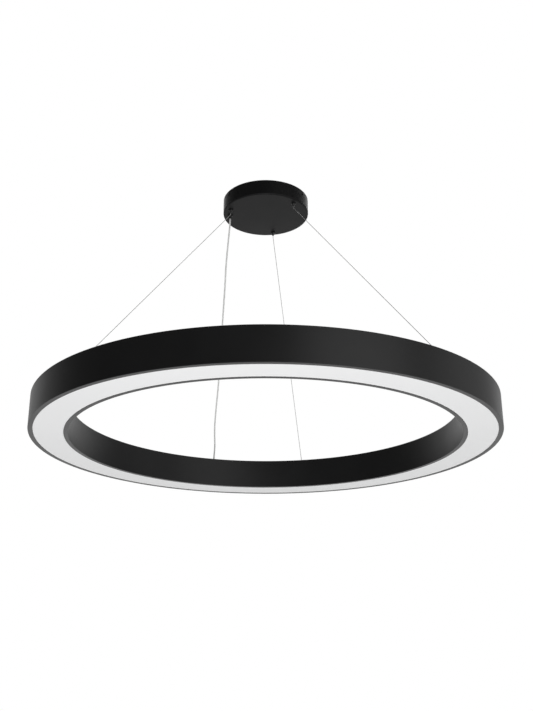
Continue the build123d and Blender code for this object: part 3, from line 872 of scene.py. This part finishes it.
def ring_wall(name, node, face, inwards, lip):
    """One wall: its face at a radius, with its lip and rib pointing into the channel."""
    back = face + inwards * wall
    rib = back + inwards * ledge
    tip = face + inwards * lip
    rib_top = ring_top - plate_thickness
    corners = [
        (face, ring_base, lip_edge),
        (face, ring_top, lip_edge),
        (back, ring_top, hidden_edge),
        (back, rib_top, hidden_edge),
        (rib, rib_top, hidden_edge),
        (rib, rib_top - ledge_thickness, hidden_edge),
        (back, rib_top - ledge_thickness, hidden_edge),
        (back, ring_base + lip_thickness, hidden_edge),
        (tip, ring_base + lip_thickness, hidden_edge),
        (tip, ring_base, lip_edge),
    ]
    if inwards < 0:
        corners.reverse()
    piece = turned(name, corners, ring_segments, ring_black)
    screw_row = back + inwards * ledge / 2
    places = [round_z(bearing, screw_row, rib_top) for bearing in plate_screw_bearings]
    machined(piece, pegs("rib_holes", places, plate_screw_hole, plate_screw_depth))
    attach(piece, "ring")
    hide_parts(node)


ring_wall("outer_wall_rolled", "outer_wall", ring_radius, -1, outer_lip)
ring_wall("inner_wall_rolled", "inner_wall", inner_radius, 1, inner_lip)

# Top plate: a flat ring of the same coated aluminium, laid on the walls' ribs and held by two
# rows of countersunk screws. The wire fixings, the cord gland and the tray hang from it.

coat(ring_black, "top_plate")

# LED tray: a pressed white pan hung under the top plate, and the boards screwed to it.
# The boards are aluminium with white solder mask, through which the copper tracks show as
# faint bands. Each chip is a white package with a round well of yellow phosphor.

board_count = 6
chips_in_row = 144
chip_pitch = tau / chips_in_row
chip_row = 0.007  # from the boards' middle line
chip_well = 0.0018
track_width = 0.0016
soft_rim = 0.0002  # over which a track or a well ends


def white_coat():
    material, shader, place = finish("white_tray", {"IOR": 1.5})
    peel = place.noise(700.0, 1.5)
    cloud = place.noise(12.0, 3.0)
    feed(
        shader,
        {
            "Base Color": cloud.mix((0.80, 0.80, 0.78, 1), (0.86, 0.86, 0.85, 1)),
            "Roughness": 0.38 + 0.12 * cloud,
            "Normal": peel.bump(0.00006, 0.5),
        },
    )
    return material


def off_rows(place):
    """How far a place on a board lies from the nearer of its two rows of chips."""
    x, y, _ = place.axes()
    radius = (x * x + y * y) ** 0.5
    off_middle = radius.math("ABSOLUTE", radius - middle_radius)
    return off_middle.math("ABSOLUTE", off_middle - chip_row)


def solder_mask():
    material, shader, place = finish("board_white", {"IOR": 1.5})
    track = 1 - off_rows(place).step(track_width / 2, track_width / 2 + soft_rim)
    weave = place.noise(900.0, 2.0)
    feed(
        shader,
        {
            "Base Color": (track * 0.7 + weave * 0.2).mix((0.86, 0.86, 0.85, 1), (0.74, 0.72, 0.66, 1)),
            "Roughness": 0.3 + 0.15 * weave,
            "Normal": track.bump(0.00003),
        },
    )
    return material


def phosphor():
    material, shader, place = finish("led_yellow", {"IOR": 1.5})
    x, y, _ = place.axes()
    turn = x.math("ARCTAN2", y, x) / chip_pitch
    along = (turn.math("FRACT", turn) - 0.5) * (chip_pitch * middle_radius)
    across = off_rows(place)
    well = 1 - ((across * across + along * along) ** 0.5).step(chip_well - soft_rim, chip_well)
    grain = place.noise(4000.0, 2.0)
    filling = well * (0.85 + 0.15 * grain)
    feed(
        shader,
        {
            "Base Color": filling.mix((0.84, 0.84, 0.82, 1), (0.86, 0.62, 0.10, 1)),
            "Roughness": 0.35 + 0.3 * grain * well,
        },
    )
    return material


coat(white_coat(), "led_tray")
coat(solder_mask(), *[f"led_board_{number + 1}" for number in range(board_count)])
coat(phosphor(), "led_chips")

# Diffuser: one flat ring of opal acrylic, stepped at both edges so that it rests on the lips
# from above with its satin face between them, a little recessed. Its skin is finely frosted.

diffuser_low, diffuser_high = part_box("diffuser")
diffuser_gap = 0.0004
diffuser_edge = 0.0004
flange_outer = diffuser_high.x
flange_inner = inner_radius + ring_radius - flange_outer
face_outer = ring_radius - outer_lip - diffuser_gap
face_inner = inner_radius + inner_lip + diffuser_gap
flange_low = ring_base + lip_thickness


def opal_acrylic():
    material, shader, place = finish("opal", {"IOR": 1.49, "Specular IOR Level": 0.4})
    frost = place.noise(1600.0, 2.0)
    cloud = place.noise(5.0, 2.0)
    feed(
        shader,
        {
            "Base Color": cloud.mix((0.865, 0.868, 0.872, 1), (0.895, 0.897, 0.90, 1)),
            "Roughness": 0.48 + 0.1 * frost,
            "Normal": frost.bump(0.00003, 0.4),
        },
    )
    return material


diffuser = turned(
    "opal_diffuser",
    [
        (face_inner, diffuser_low.z, diffuser_edge),
        (face_inner, flange_low, hidden_edge),
        (flange_inner, flange_low, hidden_edge),
        (flange_inner, diffuser_high.z, hidden_edge),
        (flange_outer, diffuser_high.z, hidden_edge),
        (flange_outer, flange_low, hidden_edge),
        (face_outer, flange_low, hidden_edge),
        (face_outer, diffuser_low.z, diffuser_edge),
    ],
    ring_segments,
    opal_acrylic(),
)
machined(diffuser)
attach(diffuser, "ring")
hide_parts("diffuser")

# Floor: a wide pale floor well below the light. It throws soft light up on the opal face and
# takes the light's shadow. It looks a little brighter than its paint, fades to the white of
# the room far off, and is open from below.

floor_level = -4.2
floor_radius = 14.0
floor_segments = 96
floor_glow = 0.4  # share of plain white in what is seen of it
fade_start = 3.4
fade_end = 7.8


def ray_kinds(tree, *kinds):
    """1 for rays of these kinds, 0 for all others."""
    rays = tree.nodes.new("ShaderNodeLightPath").outputs
    chosen = Signal(rays[kinds[0]])
    for kind in kinds[1:]:
        chosen = chosen.math("MAXIMUM", chosen, Signal(rays[kind]))
    return chosen


def floor_paint():
    """Pale matt paint that fades into plain white for what is seen, mirrored or looked through."""
    material, shader, place = finish("floor", {"Roughness": 0.9, "Specular IOR Level": 0.1})
    tree = material.node_tree
    x, y, _ = place.axes()
    speckle = place.noise(30.0, 4.0)
    feed(shader, {"Base Color": speckle.mix((0.84, 0.84, 0.84, 1), (0.87, 0.87, 0.87, 1))})
    far_off = ((x * x + y * y) ** 0.5).step(fade_start, fade_end)
    seen = ray_kinds(tree, "Is Camera Ray", "Is Glossy Ray", "Is Transmission Ray")
    whiteness = (floor_glow + (1 - floor_glow) * far_off) * seen
    paint = Signal(shader.outputs[0])
    white = place.node("ShaderNodeEmission", None, {"Strength": 1.0})
    faded = place.node("ShaderNodeMixShader", None, {0: whiteness, 1: paint, 2: white})
    under = place.node("ShaderNodeNewGeometry", output="Backfacing")
    clear = place.node("ShaderNodeBsdfTransparent")
    open_below = place.node("ShaderNodeMixShader", None, {0: under, 1: faded, 2: clear})
    open_below.link(tree.nodes["Material Output"].inputs["Surface"])
    return material


floor_shape = bmesh.new()
bmesh.ops.create_circle(floor_shape, cap_ends=True, segments=floor_segments, radius=floor_radius)
floor_mesh = bpy.data.meshes.new("floor")
floor_shape.to_mesh(floor_mesh)
floor_shape.free()
floor_mesh.transform(Matrix.Translation((0, 0, floor_level)))
floor_mesh.materials.append(floor_paint())
floor = bpy.data.objects.new("floor", floor_mesh)
bpy.context.scene.collection.objects.link(floor)

# Room light: a white room behind the light, dim on the camera's side, and four soft lamps.
# The overhead lamp lights the floor, and the low lamp in front lifts the near opal face. The
# front and side lamps at the right give the black walls their sheen.

room_level = 0.45  # on matt surfaces
room_dim = 0.05  # in mirror images, on the camera's side
white_from = 0.2  # how far backwards a mirrored ray goes before the room turns white
white_full = 1.0

world = bpy.data.worlds.new("room")
bpy.context.scene.world = world
world.use_nodes = True
room_tree = world.node_tree
room_tree.nodes.clear()
plain_ray = ray_kinds(room_tree, "Is Camera Ray", "Is Transmission Ray")
glossy_ray = ray_kinds(room_tree, "Is Glossy Ray")
backwards = glossy_ray.node("ShaderNodeTexCoord", output="Generated").axes()[1]
mirrored = room_dim + (1 - room_dim) * backwards.step(white_from, white_full)
level = plain_ray + (1 - plain_ray) * (glossy_ray * mirrored + (1 - glossy_ray) * room_level)
room = level.node("ShaderNodeBackground", None, {"Color": (1, 1, 1, 1), "Strength": level})
room.link(room_tree.nodes.new("ShaderNodeOutputWorld").inputs["Surface"])


def soft_lamp(name, place, aim, width, power):
    """A square lamp at a place, pointed at its aim."""
    data = bpy.data.lights.new(name, "AREA")
    data.shape = "SQUARE"
    data.size = width
    data.energy = power
    lamp = bpy.data.objects.new(name, data)
    lamp.location = place
    lamp.rotation_euler = (Vector(aim) - Vector(place)).to_track_quat("-Z", "Y").to_euler()
    bpy.context.scene.collection.objects.link(lamp)


soft_lamp("overhead_lamp", place=(0.3, 1.8, 2.8), aim=(0.1, -0.4, floor_level), width=5.0, power=160)
soft_lamp("low_lamp", place=(-0.1, -2.4, -2.5), aim=(0.0, -0.3, -0.7), width=1.8, power=43)
soft_lamp("front_lamp", place=(1.65, -2.2, -0.35), aim=(0.0, -0.2, -0.6), width=2.2, power=17.5)
soft_lamp("side_lamp", place=(3.0, -0.2, -0.1), aim=(0.0, -0.2, -0.6), width=1.6, power=5)

# Camera: it stands below the ring's level and looks up, so that the canopy's underside, the
# opal face and the inside of the ring's far half show.

camera_place = (0.0042, -2.36, -1.3672)
camera_rise = 20.844  # degrees above the level
camera_turn = 0.0009

camera_data = bpy.data.cameras.new("camera")
camera_data.sensor_width = 36.0
camera_data.lens = 47.75
camera = bpy.data.objects.new("camera", camera_data)
camera.location = camera_place
camera.rotation_euler = (pi / 2 + radians(camera_rise), 0, camera_turn)
bpy.context.scene.collection.objects.link(camera)
bpy.context.scene.camera = camera

bpy.context.scene.view_settings.view_transform = "Standard"
